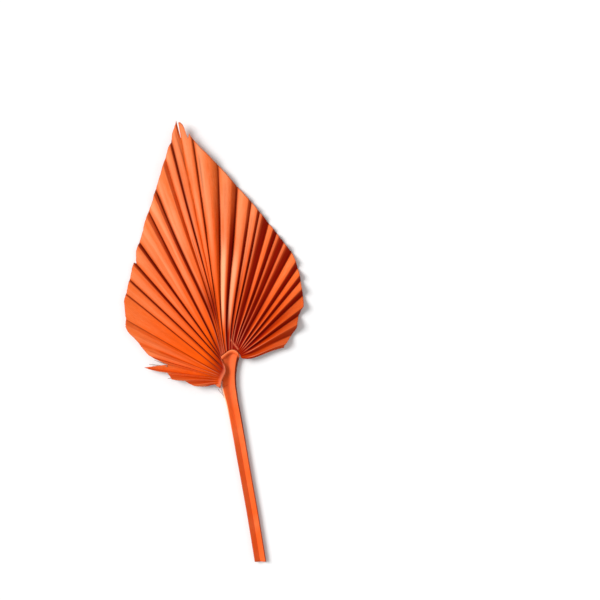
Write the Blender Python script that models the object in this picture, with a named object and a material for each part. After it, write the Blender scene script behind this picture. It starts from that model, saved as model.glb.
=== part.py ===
"""A dried palm spear lying on its back: a pleated fan blade on a channelled stalk.

Metres, +Z up. +Y runs from the stalk's cut end to the blade's tip, and the grooved upper side of
the leaf faces up. The origin is the bottom centre of the bounding box. Shapes are drawn first about
the fan centre, the point that the pleats radiate from, and then moved to that origin. A bearing is
an angle in degrees about the fan centre, clockwise from +Y as seen from above.
"""


import bpy
import numpy as np

MM = 0.001

# Trimmed rim of the blade: bearing in degrees, reach from the fan centre in millimetres
RIM = [
    (-152.0, 26.5), (-138.2, 25.6), (-130.5, 30.1), (-122.8, 35.3), (-114.6, 39.7), (-104.6, 44.5),
    (-98.0, 54.3), (-91.1, 57.2), (-84.4, 77.2), (-83.7, 55.2), (-79.2, 65.0), (-76.0, 73.0),
    (-69.0, 82.7), (-66.6, 87.4), (-64.3, 93.6), (-61.8, 97.7), (-57.3, 100.7), (-50.1, 108.6),
    (-45.9, 110.9), (-39.8, 116.2), (-33.8, 123.1), (-33.2, 121.0), (-32.5, 123.3), (-30.0, 129.2),
    (-26.4, 134.3), (-23.0, 140.7), (-14.9, 159.6), (-9.8, 177.7), (-7.1, 189.7), (-5.2, 199.5),
    (-4.2, 202.9), (-3.4, 210.3), (-2.1, 217.5), (-1.74, 220.9), (-1.62, 205.2), (-1.5, 204.6),
    (-1.38, 218.6), (-1.1, 218.8), (-0.83, 217.9), (-0.46, 215.8), (-0.22, 212.9), (-0.03, 207.0),
    (0.16, 202.9), (0.45, 204.2), (0.76, 207.4), (0.97, 204.5), (1.4, 201.6), (2.8, 194.2),
    (5.0, 185.2), (7.3, 176.5), (13.2, 156.8), (18.6, 144.3), (22.0, 137.1), (26.8, 128.3),
    (32.0, 121.2), (36.2, 116.4), (40.8, 112.5), (44.6, 107.8), (47.6, 103.3), (50.4, 99.9),
    (52.8, 96.5), (54.9, 93.5), (59.9, 88.3), (65.1, 82.8), (66.2, 78.7), (68.4, 74.3),
    (71.5, 71.0), (75.3, 67.8), (79.0, 60.8), (86.3, 51.6), (88.0, 50.8),
]

# Inner edge of the blade, round the stalk's end: bearing, then x and y from the fan centre in mm
HUB = [
    (-152.0, -10.8, -19.4), (-128.0, -10.3, -18.4), (-107.0, -9.9, -17.4), (-92.7, -9.4, -16.5),
    (-76.9, -8.4, -15.1), (-58.0, -7.1, -13.1), (-46.6, -5.9, -11.7), (-43.0, -4.9, -10.0),
    (-40.4, -4.5, -8.2), (-37.0, -4.8, -4.6), (-33.4, -6.1, -1.4), (-26.7, -7.1, 2.4),
    (-17.8, -7.1, 4.7), (-13.2, -6.6, 5.3), (-6.9, -5.6, 5.7), (-4.2, -4.9, 6.0), (1.4, -3.6, 6.5),
    (7.3, -2.0, 7.3), (13.2, 0.2, 8.4), (18.7, 2.6, 9.0), (22.3, 4.4, 9.0), (27.0, 6.2, 8.6),
    (36.0, 8.3, 7.1), (45.0, 9.5, 5.6), (55.0, 10.2, 4.2), (65.0, 10.6, 3.0), (79.0, 11.0, 1.2),
    (88.0, 11.2, -0.4),
]

# Sideways bow of the leaf's lines near the hub, clockwise: bearing, millimetres where it is fullest
BOW = [
    (-33.4, 0.0), (-17.8, 0.6), (-12.8, 4.4), (-6.9, 2.9), (-4.2, 2.7), (1.4, -0.9), (7.3, -2.6),
    (13.2, -2.0), (18.7, -1.5), (22.3, -1.7), (26.8, -1.2), (31.2, -1.2), (35.6, -1.0), (40.8, -0.7),
    (47.4, -0.3), (52.8, 0.0), (65.0, 0.2), (79.0, 1.1), (88.0, 2.5),
]
BOW_PEAK = 0.25 * 0.75**3

# Pleats: bearing of the valley that each starts at, of its ridge, and its rise as a share of its width
PLEATS = [
    (-152.0, -134.5, 0.24), (-128.0, -114.1, 0.26), (-107.0, -98.5, 0.26), (-92.7, -86.5, 0.24),
    (-84.9, -78.5, 0.26), (-76.9, -70.6, 0.14), (-68.3, -60.6, 0.10), (-58.0, -47.3, 0.10),
    (-46.6, -41.1, 0.15), (-40.4, -34.8, 0.24), (-33.4, -28.0, 0.24), (-26.7, -19.4, 0.20),
    (-17.8, -13.8, 0.26), (-12.8, -8.0, 0.20), (-6.9, -4.7, 0.22), (-4.2, -2.1, 0.12),
    (-1.5, 0.76, 0.14), (1.4, 5.0, 0.22), (7.3, 11.2, 0.34), (13.2, 17.4, 0.30),
    (18.7, 21.3, 0.30), (22.3, 23.4, 0.36), (26.8, 29.1, 0.38), (31.2, 32.4, 0.36),
    (35.6, 36.9, 0.36), (40.8, 44.6, 0.38), (47.4, 50.4, 0.38), (52.8, 56.2, 0.38),
    (59.6, 65.0, 0.32), (68.2, 73.0, 0.30), (79.0, 84.5, 0.20),
]
FAN_END = 88.0

# The folds flatten near the rim right of the tip: bearing, share of the rise that goes
FLAT = [(-5.0, 0.0), (1.4, 0.4), (7.3, 0.6), (18.7, 0.5), (25.0, 0.0)]
FLAT_FROM, FLAT_FULL = 0.6, 0.9

# The folds die out in mm before the inner edge, except over the middle, and the left half's inner
# edge is rolled up
CALM_FROM, CALM_LENGTH = (-42.0, -22.0, 15.0, 26.0), 10.0
EAR_TO, EAR_RISE, EAR_LENGTH = (-34.0, -18.0), 0.8, 4.5
EAR_ROLL, EAR_ROLL_LENGTH = 0.5, 1.0

# Columns of the blade: room in degrees that a corner of the rim needs to a fold, less at the tip
CORNER_ROOM, TIP_CORNER_ROOM, TIP_BEARING = 0.7, 0.1, 6.0
ROWS, ROW_POWER = 15, 1.35
SHEET_THICK = 1.3

# Blade's middle surface: heights in mm of its long bend, its shallow double dip across, tip's wave
BEND_HUB_Y, BEND_LOW_Y, BEND_TIP_Y = 10.0, 96.0, 221.0
BEND_HUB_Z, BEND_LOW_Z, BEND_TIP_Z = 7.9, 4.9, 12.0
DIP_X, DIP_DEPTH, OUTER_LIFT = 44.0, 1.3, 0.3
TIP_WAVE, WAVE_RATE = 0.9, 0.37

# Stalk: station y, centre x, half width, height of its edges, depth of its channel, underside, mm
STALK = [
    (-184.2, -6.0, 5.1, 4.9, 2.1, 0.0),
    (-160.0, -5.4, 5.1, 4.9, 2.1, 0.1),
    (-136.5, -4.9, 5.1, 4.9, 2.1, 0.2),
    (-112.0, -4.7, 5.1, 5.0, 2.1, 0.3),
    (-90.7, -4.5, 5.2, 5.0, 2.1, 0.4),
    (-70.0, -4.2, 5.3, 5.1, 2.1, 0.5),
    (-53.8, -4.1, 5.4, 5.2, 2.0, 0.6),
    (-40.0, -4.3, 5.6, 5.4, 1.8, 0.6),
    (-26.7, -4.5, 6.3, 5.6, 1.6, 0.6),
    (-17.0, -3.6, 6.3, 5.7, 1.5, 0.6),
    (-8.0, -2.1, 6.5, 5.8, 1.5, 0.6),
    (-1.0, -0.4, 6.9, 5.9, 1.5, 0.6),
    (4.2, 1.2, 7.5, 6.2, 1.3, 0.6),
]
# Raised lip at the stalk's end, then the tongue that runs on under the blade
LIP = [
    (6.2, 1.8, 7.9, 8.9, 0.9, 0.7),
    (7.7, 1.9, 8.0, 9.2, 0.6, 0.7),
    (8.2, 1.9, 8.0, 6.1, 0.3, 0.8),
]
TONGUE = [
    (16.0, 2.4, 5.6, 5.4, 0.0, 0.9),
    (26.0, 1.8, 3.6, 4.6, 0.0, 1.3),
    (35.0, 1.4, 1.6, 3.8, 0.0, 2.2),
]
ACROSS = (-1.0, -0.86, -0.62, -0.34, -0.04, 0.0, 0.04, 0.34, 0.62, 0.86, 1.0)
EDGE_DROP, SHOULDER = 1.3, 0.86
UNDERSIDE_EDGE, FULL_DEPTH, LEAST_DEPTH_SHARE = 2.6, 6.0, 0.35
LEAST_SIDE, ELLIPSE_SHARE = 0.3, 0.98
# Shift of the rows along y at the hub, as a polynomial of the place across, highest power first
LIP_BOW = (-0.62, -2.94, -3.73, 2.44, -0.05)
BOW_START_Y, BOW_FULL_Y = -34.0, 4.0
CUT_SLANT, CUT_SLANT_END_Y = 0.186, -120.0

BLADE_COLOUR = (0.88, 0.16, 0.025)
STALK_COLOUR = (0.85, 0.15, 0.03)
BLADE_ROUGHNESS, STALK_ROUGHNESS = 0.6, 0.5


def clear_scene():
    """Remove every object of the scene."""
    for old in list(bpy.data.objects):
        bpy.data.objects.remove(old, do_unlink=True)


def material(name, colour, roughness):
    """A Principled material of one plain colour."""
    made = bpy.data.materials.new(name)
    made.use_nodes = True
    shader = made.node_tree.nodes["Principled BSDF"]
    shader.inputs["Base Color"].default_value = (*colour, 1.0)
    shader.inputs["Roughness"].default_value = roughness
    shader.inputs["Metallic"].default_value = 0.0
    return made


def smooth(t):
    """Ease from 0 to 1 with level ends."""
    t = np.clip(t, 0.0, 1.0)
    return t * t * (3.0 - 2.0 * t)


def read_off(table, column, bearings):
    """A column of a table at the given bearings, straight between its rows."""
    known = np.array(table)
    return np.interp(bearings, known[:, 0], known[:, column])


def pleat_starts():
    """Bearings of the valleys that the pleats start at, and of the fan's end."""
    return np.array([pleat[0] for pleat in PLEATS] + [FAN_END])


def fold_bearings():
    """Bearings of all folds in order, and +1 at a ridge or -1 at a valley."""
    bearings = [value for pleat in PLEATS for value in pleat[:2]] + [FAN_END]
    sides = [-1.0, 1.0] * len(PLEATS) + [-1.0]
    return np.array(bearings), np.array(sides)


def corner_room(bearing):
    """Room that a rim corner needs to a fold."""
    return TIP_CORNER_ROOM if abs(bearing) < TIP_BEARING else CORNER_ROOM


def column_bearings():
    """Bearings of the blade's columns: each fold, and each corner of the rim that is apart from one."""
    folds, _ = fold_bearings()
    corners = [b for b, _ in RIM if np.abs(folds - b).min() > corner_room(b)]
    return np.array(sorted([*folds, *corners]))


def hub_points(bearings):
    """Inner ends of the columns, as x and y."""
    return np.stack([read_off(HUB, 1, bearings), read_off(HUB, 2, bearings)], axis=-1)


def rim_points(bearings):
    """Outer ends of the columns, as x and y."""
    reach = read_off(RIM, 1, bearings)
    angle = np.radians(bearings)
    return np.stack([reach * np.sin(angle), reach * np.cos(angle)], axis=-1)


def row_shares():
    """Places of the rows from the inner edge (0) to the rim (1), closer together near the hub."""
    return np.linspace(0.0, 1.0, ROWS) ** ROW_POWER


def line_bow(bearings, shares):
    """Sideways shift of the lines at each row and column."""
    form = shares * (1.0 - shares) ** 3 / BOW_PEAK
    return form[:, None] * read_off(BOW, 1, bearings)[None]


def middle_height(x, y):
    """Height of the blade's middle surface: a long sag along y, and two shallow dips across x."""
    before = BEND_LOW_Z + (BEND_HUB_Z - BEND_LOW_Z) * ((BEND_LOW_Y - y) / (BEND_LOW_Y - BEND_HUB_Y)) ** 2
    after = BEND_LOW_Z + (BEND_TIP_Z - BEND_LOW_Z) * ((y - BEND_LOW_Y) / (BEND_TIP_Y - BEND_LOW_Y)) ** 2
    bend = np.where(y < BEND_LOW_Y, before, after)
    away = ((x * x - DIP_X**2) / DIP_X**2) ** 2
    away = np.where(np.abs(x) > DIP_X, OUTER_LIFT * away, away)
    return bend + DIP_DEPTH * (away - 1.0)


def pleat_widths(shares):
    """Width of each pleat at each row, from the ends of the valleys on its two sides."""
    inner = hub_points(pleat_starts())
    outer = rim_points(pleat_starts())
    lines = inner[None] + shares[:, None, None] * (outer - inner)[None]
    return np.linalg.norm(np.diff(lines, axis=1), axis=-1)


def pleat_height(bearings, shares):
    """Height of the folds above or below the middle surface, at each row and column."""
    folds, sides = fold_bearings()
    starts = pleat_starts()
    pleat = np.clip(np.searchsorted(starts, bearings, side="right") - 1, 0, len(PLEATS) - 1)
    side = np.interp(bearings, folds, sides)
    full = pleat_widths(shares) * np.array(PLEATS)[None, :, 2]
    around = np.concatenate([full[:, :1], 0.5 * (full[:, 1:] + full[:, :-1]), full[:, -1:]], axis=1)
    level = (bearings - starts[pleat]) / (starts[pleat + 1] - starts[pleat])
    height = around[:, pleat] * (1.0 - level) + around[:, pleat + 1] * level
    flat = smooth((shares - FLAT_FROM) / (FLAT_FULL - FLAT_FROM))[:, None] * read_off(FLAT, 1, bearings)[None]
    return 0.5 * height * side * (1.0 - flat)


def hub_calm(bearings, distance):
    """Share of the folds that is left at a distance from the inner edge."""
    reach = np.interp(bearings, CALM_FROM, (1.0, 0.0, 0.0, 1.0))
    return 1.0 - reach[None] * (1.0 - smooth(distance / CALM_LENGTH))


def ear_height(bearings, distance):
    """Height of the rolled inner edge of the left half."""
    reach = np.interp(bearings, EAR_TO, (1.0, 0.0))
    rise = EAR_RISE * (1.0 - smooth(distance / EAR_LENGTH))
    roll = EAR_ROLL * (1.0 - smooth(distance / EAR_ROLL_LENGTH))
    return reach[None] * (rise - roll)


def blade_top():
    """Upper surface of the blade as rows of points, in mm from the fan centre."""
    bearings = column_bearings()
    shares = row_shares()
    inner = hub_points(bearings)
    span = rim_points(bearings) - inner
    length = np.linalg.norm(span, axis=1)
    clockwise = np.stack([span[:, 1], -span[:, 0]], axis=-1) / length[:, None]
    plan = inner[None] + shares[:, None, None] * span[None]
    plan = plan + line_bow(bearings, shares)[..., None] * clockwise[None]
    x = plan[..., 0]
    y = plan[..., 1]
    distance = shares[:, None] * length[None]
    fold = pleat_height(bearings, shares) * hub_calm(bearings, distance)
    wave = TIP_WAVE * np.sin(WAVE_RATE * bearings)[None] * shares[:, None] ** 3
    z = middle_height(x, y) + fold + ear_height(bearings, distance) + wave
    return np.stack([x, y, z], axis=-1)


def stalk_surfaces():
    """Upper and lower surface of the stalk as rows of points, in mm from the fan centre."""
    stations = np.array(STALK + LIP + TONGUE)
    u = np.array(ACROSS)[None]
    y, centre, half, edge, depth, under = (stations[:, k : k + 1] for k in range(6))
    bow = smooth((y - BOW_START_Y) / (BOW_FULL_Y - BOW_START_Y))
    slant = CUT_SLANT * np.clip((CUT_SLANT_END_Y - y) / (CUT_SLANT_END_Y - STALK[0][0]), 0.0, 1.0)
    across = half * u
    along = y + bow * np.polyval(LIP_BOW, u) - slant * across
    x = centre + across
    shoulder = EDGE_DROP * np.clip((np.abs(u) - SHOULDER) / (1.0 - SHOULDER), 0.0, 1.0)
    channel = depth * np.clip(1.0 - np.abs(u) / SHOULDER, 0.0, 1.0)
    top = edge - channel - shoulder
    side = edge - EDGE_DROP - UNDERSIDE_EDGE * np.clip((edge - under) / FULL_DEPTH, LEAST_DEPTH_SHARE, 1.0)
    lower = under + np.maximum(side - under, LEAST_SIDE) * (1.0 - np.sqrt(1.0 - ELLIPSE_SHARE * u**2))
    return np.stack([x, along, top], axis=-1), np.stack([x, along, lower], axis=-1)


def sheet_faces(rows, columns):
    """Triangles of a closed sheet: two grids of points, one above the other, joined at their borders."""
    index = np.arange(rows * columns).reshape(rows, columns)
    a = index[:-1, :-1].ravel()
    b = index[:-1, 1:].ravel()
    c = index[1:, 1:].ravel()
    d = index[1:, :-1].ravel()
    upper = np.concatenate([np.stack([a, b, c], 1), np.stack([a, c, d], 1)])
    lower = upper[:, ::-1] + rows * columns
    border = np.concatenate([index[0, :], index[1:, -1], index[-1, -2::-1], index[-2:0:-1, 0]])
    after = np.roll(border, -1)
    under = rows * columns
    walls = [np.stack([after, border, border + under], 1), np.stack([after, border + under, after + under], 1)]
    return np.concatenate([upper, lower, *walls])


def sheet_object(name, top, bottom, look):
    """A closed solid between two grids of points, given in metres."""
    rows, columns = top.shape[:2]
    points = np.concatenate([top.reshape(-1, 3), bottom.reshape(-1, 3)])
    mesh = bpy.data.meshes.new(name)
    mesh.from_pydata(points.tolist(), [], sheet_faces(rows, columns).tolist())
    mesh.materials.append(look)
    made = bpy.data.objects.new(name, mesh)
    bpy.context.scene.collection.objects.link(made)


def box_origin(*grids):
    """Bottom centre of the box round all the points."""
    points = np.concatenate([grid.reshape(-1, 3) for grid in grids])
    low = points.min(axis=0)
    high = points.max(axis=0)
    return np.array([(low[0] + high[0]) / 2, (low[1] + high[1]) / 2, low[2]])


def build():
    """Model the blade and the stalk at their places."""
    clear_scene()
    top = blade_top()
    bottom = top - np.array([0.0, 0.0, SHEET_THICK])
    stalk_top, stalk_bottom = stalk_surfaces()
    origin = box_origin(top, bottom, stalk_top, stalk_bottom)
    blade_look = material("dried_leaf", BLADE_COLOUR, BLADE_ROUGHNESS)
    stalk_look = material("dried_stalk", STALK_COLOUR, STALK_ROUGHNESS)
    sheet_object("blade", (top - origin) * MM, (bottom - origin) * MM, blade_look)
    sheet_object("petiole", (stalk_top - origin) * MM, (stalk_bottom - origin) * MM, stalk_look)


build()
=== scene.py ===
# %% [markdown]
# # A dried palm spear
#
# This lesson dresses the imported model of one dried fan palm leaf, trimmed to a spear and dyed
# orange. The imported solids say where the blade and the stalk are. The cells below lay a finer
# surface over each of them, with the same folds, and give both their fibres, dye, painted shade,
# painted highlights and cut edges.

# %% Load the frame
import math
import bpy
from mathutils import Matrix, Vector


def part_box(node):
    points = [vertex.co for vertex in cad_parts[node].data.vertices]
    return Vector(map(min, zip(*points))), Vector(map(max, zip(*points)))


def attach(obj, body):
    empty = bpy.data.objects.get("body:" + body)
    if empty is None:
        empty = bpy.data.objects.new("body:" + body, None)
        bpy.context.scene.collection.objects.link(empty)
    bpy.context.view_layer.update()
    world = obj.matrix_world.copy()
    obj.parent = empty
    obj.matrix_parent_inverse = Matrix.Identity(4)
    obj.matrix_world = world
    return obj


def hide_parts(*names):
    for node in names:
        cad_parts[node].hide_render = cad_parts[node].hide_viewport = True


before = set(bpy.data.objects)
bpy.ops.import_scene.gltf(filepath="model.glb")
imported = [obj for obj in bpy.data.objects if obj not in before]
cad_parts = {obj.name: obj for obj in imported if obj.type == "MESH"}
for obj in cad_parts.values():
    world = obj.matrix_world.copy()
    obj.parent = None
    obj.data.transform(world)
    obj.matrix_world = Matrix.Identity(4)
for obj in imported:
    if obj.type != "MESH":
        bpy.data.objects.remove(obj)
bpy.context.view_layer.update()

from types import SimpleNamespace

import bpy
import numpy as np
from mathutils import Matrix, Vector

print("packed nodes:", sorted(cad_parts))

# %% [markdown]
# ## The leaf's own plan
#
# A fan leaf is drawn best about its fan centre, the point that its pleats radiate from. A bearing
# is an angle about that point, clockwise from the leaf's axis, which is +Y here. Short lists drive
# everything: how far the trimmed rim reaches on each bearing, where the inner edge runs round the
# stalk's end, and on which bearings the folds lie. Listed points were chosen over a formula,
# because shears cut this rim, and no curve knows where they slipped.

# %% Rim: bearing in degrees, distance from the fan centre in millimetres
MM = 0.001
RIM = np.array([
    (-152.0, 26.5), (-138.2, 25.6), (-130.5, 30.1), (-122.8, 35.3), (-114.6, 39.7), (-104.6, 44.5),
    (-98.0, 54.3), (-91.1, 57.2), (-84.4, 77.2), (-83.7, 55.2), (-79.2, 65.0), (-76.0, 73.0),
    (-69.0, 82.7), (-66.6, 87.4), (-64.3, 93.6), (-61.8, 97.7), (-57.3, 100.7), (-50.1, 108.6),
    (-45.9, 110.9), (-39.8, 116.2), (-33.8, 123.1), (-33.2, 121.0), (-32.5, 123.3), (-30.0, 129.2),
    (-26.4, 134.3), (-23.0, 140.7), (-14.9, 159.6), (-9.8, 177.7), (-7.1, 189.7), (-5.2, 199.5),
    (-4.2, 202.9), (-3.4, 210.3), (-2.1, 217.5), (-1.74, 220.9), (-1.62, 205.2), (-1.5, 204.6),
    (-1.38, 218.6), (-1.1, 218.8), (-0.83, 217.9), (-0.46, 215.8), (-0.22, 212.9), (-0.03, 207.0),
    (0.16, 202.9), (0.45, 204.2), (0.76, 207.4), (0.97, 204.5), (1.4, 201.6), (2.8, 194.2),
    (5.0, 185.2), (7.3, 176.5), (13.2, 156.8), (18.6, 144.3), (22.0, 137.1), (26.8, 128.3),
    (32.0, 121.2), (36.2, 116.4), (40.8, 112.5), (44.6, 107.8), (47.6, 103.3), (50.4, 99.9),
    (52.8, 96.5), (54.9, 93.5), (59.9, 88.3), (65.1, 82.8), (66.2, 78.7), (68.4, 74.3),
    (71.5, 71.0), (75.3, 67.8), (79.0, 60.8), (86.3, 51.6), (88.0, 50.8),
])
print("the rim reaches", RIM[:, 1].min(), "to", RIM[:, 1].max(), "mm from the fan centre")

# %% Inner edge: bearing, x, y
HUB = np.array([
    (-152.0, -10.8, -19.4), (-128.0, -10.3, -18.4), (-107.0, -9.9, -17.4), (-92.7, -9.4, -16.5),
    (-76.9, -8.4, -15.1), (-58.0, -7.1, -13.1), (-46.6, -5.9, -11.7), (-43.0, -4.9, -10.0),
    (-40.4, -4.4, -8.2), (-37.0, -4.5, -4.7), (-33.4, -5.5, -1.6), (-26.7, -6.4, 2.1),
    (-17.8, -6.5, 4.3), (-13.2, -6.2, 5.0), (-6.9, -5.6, 5.7), (-4.2, -4.9, 6.0), (1.4, -3.6, 6.5),
    (7.3, -2.0, 7.3), (13.2, 0.2, 8.4), (18.7, 2.6, 9.0), (22.3, 4.4, 9.0), (27.0, 6.2, 8.6),
    (36.0, 8.3, 7.1), (45.0, 9.5, 5.6), (55.0, 10.2, 4.2), (65.0, 10.6, 3.0), (79.0, 11.0, 1.2),
    (88.0, 11.2, -0.4),
])
# bearing, sideways bow of the leaf's lines near the hub, clockwise, at its fullest
BOW = np.array([
    (-33.4, 0.0), (-17.8, 0.6), (-12.8, 4.4), (-6.9, 2.9), (-4.2, 2.7), (1.4, -0.9), (7.3, -2.6),
    (13.2, -2.0), (18.7, -1.0), (22.3, -0.5), (27.0, 0.0), (65.0, 0.2), (79.0, 1.1), (88.0, 2.5),
])
# a second bow of the right half's lines, closer to the hub
HUB_BOW = np.array([
    (13.0, 0.0), (18.7, -0.5), (22.3, -1.3), (26.8, -1.2), (35.6, -1.1), (40.8, -0.8),
    (47.4, -0.3), (52.8, 0.0),
])
print("the inner edge runs through", len(HUB), "points")

# %% Pleats: bearing of the valley that each starts at, bearing of its ridge, rise as a share of its
# width
PLEATS = np.array([
    (-152.0, -134.5, 0.24), (-128.0, -114.1, 0.26), (-107.0, -98.5, 0.26), (-92.7, -86.5, 0.24),
    (-84.9, -78.5, 0.26), (-76.9, -70.6, 0.14), (-68.3, -60.6, 0.10), (-58.0, -47.3, 0.10),
    (-46.6, -41.1, 0.15), (-40.4, -34.8, 0.24), (-33.4, -28.0, 0.24), (-26.7, -19.4, 0.20),
    (-17.8, -13.8, 0.26), (-12.8, -8.0, 0.20), (-6.9, -4.7, 0.22), (-4.2, -2.1, 0.12),
    (-1.5, 0.76, 0.14), (1.4, 5.0, 0.22), (7.3, 11.2, 0.34), (13.2, 17.4, 0.30),
    (18.7, 21.3, 0.30), (22.3, 23.4, 0.36), (26.8, 29.1, 0.38), (31.2, 32.4, 0.36),
    (35.6, 36.9, 0.36), (40.8, 44.6, 0.38), (47.4, 50.4, 0.38), (52.8, 56.2, 0.38),
    (59.6, 65.0, 0.32), (68.2, 73.0, 0.30), (79.0, 84.5, 0.20),
])
FAN_END = 88.0
PLEAT_STARTS = np.append(PLEATS[:, 0], FAN_END)
print(len(PLEATS), "pleats between bearings", PLEATS[0, 0], "and", FAN_END)


# %% Points of the plan
def by_bearing(table, bearings):
    """Values read off a table of bearings and values, straight between its rows."""
    return np.interp(bearings, table[:, 0], table[:, 1])[None]


def hub_points(bearings):
    """Inner ends of the leaf's lines: x and y read off the inner edge at each bearing."""
    return np.stack([np.interp(bearings, HUB[:, 0], HUB[:, k]) for k in (1, 2)], axis=-1)


def rim_points(bearings):
    """Outer ends of the leaf's lines: reach times the sine and cosine of the bearing."""
    reach = np.interp(bearings, RIM[:, 0], RIM[:, 1])
    angle = np.radians(bearings)
    return np.stack([reach * np.sin(angle), reach * np.cos(angle)], axis=-1)


outline = rim_points(RIM[:, 0])
print("the head is", np.ptp(outline[:, 0]).round(1), "mm wide")

# %% [markdown]
# ## The blade's height
#
# The dried blade lies on its back as a shallow cup: it sags from the hub to a low place, lifts
# again to the tip, and has two shallow dips across, so it rests on the outer side of each half. On
# top of that slow shape sit the folds. Each pleat climbs from a valley to its ridge and drops to
# the next valley, and its height keeps in step with its width, as a folded sheet's does. A height
# above the plan was chosen over folding a flat sheet, because it can't run through itself.

# %% Slow shape
BEND_HUB_Y, BEND_LOW_Y, BEND_TIP_Y = 10.0, 96.0, 221.0
BEND_HUB_Z, BEND_LOW_Z, BEND_TIP_Z = 7.9, 4.9, 12.0
DIP_X, DIP_DEPTH, OUTER_LIFT = 44.0, 1.3, 0.3


def smooth(t):
    """Three times the square less twice the cube, from 0 to 1 with level ends."""
    t = np.clip(t, 0.0, 1.0)
    return t * t * (3.0 - 2.0 * t)


def eased(value, start, length):
    """A smooth rise from 0 to 1 that begins at start and takes length."""
    return smooth((value - start) / length)


def bell(value, middle, width):
    """The exponential of minus the square of the distance from the middle, in widths."""
    return np.exp(-(((value - middle) / width) ** 2))


def middle_height(x, y):
    """Two half parabolas joined at the low place along y, plus a fourth-power double dip across x
    that rises less on its outer sides."""
    to_hub = (BEND_LOW_Y - y) / (BEND_LOW_Y - BEND_HUB_Y)
    to_tip = (y - BEND_LOW_Y) / (BEND_TIP_Y - BEND_LOW_Y)
    before = BEND_LOW_Z + (BEND_HUB_Z - BEND_LOW_Z) * to_hub**2
    after = BEND_LOW_Z + (BEND_TIP_Z - BEND_LOW_Z) * to_tip**2
    bend = np.where(y < BEND_LOW_Y, before, after)
    away = ((x * x - DIP_X**2) / DIP_X**2) ** 2
    away = np.where(np.abs(x) > DIP_X, OUTER_LIFT * away, away)
    return bend + DIP_DEPTH * (away - 1.0)


print("the slow shape is lowest at", middle_height(DIP_X, BEND_LOW_Y).round(1), "mm")

# %% Folds
# bearing, share of the fold that flattens out towards the rim
FLAT = np.array([(-5.0, 0.0), (1.4, 0.4), (7.3, 0.6), (18.7, 0.5), (25.0, 0.0)])
FLAT_FROM, FLAT_LENGTH = 0.6, 0.3
# bearing, power that rounds the ridges
SOFT_RIDGES = np.array([(-1.5, 1.0), (1.4, 1.9), (13.2, 1.9), (22.0, 1.0)])


def fold_side(bearings):
    """Place of a bearing in its pleat: straight from -1 at a valley to 1 at the ridge and back."""
    folds = np.append(PLEATS[:, :2].ravel(), FAN_END)
    sides = np.append(np.tile([-1.0, 1.0], len(PLEATS)), -1.0)
    return np.interp(bearings, folds, sides)


def soft_side(bearings, side):
    """Rounds the ridges right of the tip: with t the share from ridge to valley, 1 - 2 t^p, where
    the power p grows there."""
    return 1.0 - 2.0 * (0.5 * (1.0 - side)) ** by_bearing(SOFT_RIDGES, bearings)[0]


def pleat_number(bearings):
    """Number of the pleat that each bearing lies in."""
    found = np.searchsorted(PLEAT_STARTS, bearings, side="right") - 1
    return np.clip(found, 0, len(PLEATS) - 1)


def pleat_widths(shares):
    """Width of each pleat at each row: the distance between the lines of its two valleys."""
    inner = hub_points(PLEAT_STARTS)
    outer = rim_points(PLEAT_STARTS)
    lines = inner[None] + shares[:, None, None] * (outer - inner)[None]
    return np.linalg.norm(np.diff(lines, axis=1), axis=-1)


def fold_height(bearings, shares, side):
    """Half of rise times width times side, with the rise and width eased from pleat to pleat, less
    the share that flattens out near the rim right of the tip."""
    full = pleat_widths(shares) * PLEATS[None, :, 2]
    between = 0.5 * (full[:, 1:] + full[:, :-1])
    around = np.concatenate([full[:, :1], between, full[:, -1:]], axis=1)
    pleat = pleat_number(bearings)
    level = (bearings - PLEAT_STARTS[pleat]) / (PLEAT_STARTS[pleat + 1] - PLEAT_STARTS[pleat])
    height = around[:, pleat] * (1.0 - level) + around[:, pleat + 1] * level
    flat = by_bearing(FLAT, bearings) * eased(shares, FLAT_FROM, FLAT_LENGTH)[:, None]
    return 0.5 * height * side * (1.0 - flat)


print("pleats are up to", pleat_widths(np.ones(1)).max().round(1), "mm wide at the rim")

# %% Lines and relief near the hub
BOW_PEAK, HUB_BOW_PEAK = 0.25 * 0.75**3, (1.0 / 6.0) * (5.0 / 6.0) ** 5
# bearing, how fully the folds calm down by the hub
CALM = np.array([(-42.0, 1.0), (-22.0, 0.0), (15.0, 0.0), (26.0, 1.0)])
CALM_REST, CALM_LENGTH = 2.5, 8.5
# bearing, how fully the inner edge rolls up
EAR = np.array([(-34.0, 1.0), (-18.0, 0.0)])
EAR_RISE, EAR_LENGTH, EAR_ROLL, EAR_ROLL_LENGTH = 0.8, 4.5, 0.5, 1.0
RIB_ENDS = np.array([(4.7, 17.9), (9.8, 8.2)])
RIB_RISE, RIB_HALF_WIDTH = 0.55, 0.55


def line_bow(bearings, shares):
    """Sideways shift: the bow of each bearing times s (1 - s)^3, scaled to reach 1 at a quarter,
    plus the hub bow times s (1 - s)^5, scaled to reach 1 at a sixth."""
    wide = (shares * (1.0 - shares) ** 3 / BOW_PEAK)[:, None]
    close = (shares * (1.0 - shares) ** 5 / HUB_BOW_PEAK)[:, None]
    return by_bearing(BOW, bearings) * wide + by_bearing(HUB_BOW, bearings) * close


def hub_calm(bearings, distance):
    """Share of the fold that is left: it eases out towards the inner edge, except in the middle."""
    return 1.0 - by_bearing(CALM, bearings) * (1.0 - eased(distance, CALM_REST, CALM_LENGTH))


def ear_height(bearings, distance):
    """The rolled inner edge of the left half: an eased rise towards the edge, less a short eased
    roll at the edge itself."""
    rise = EAR_RISE * (1.0 - smooth(distance / EAR_LENGTH))
    roll = EAR_ROLL * (1.0 - smooth(distance / EAR_ROLL_LENGTH))
    return by_bearing(EAR, bearings) * (rise - roll)


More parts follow.
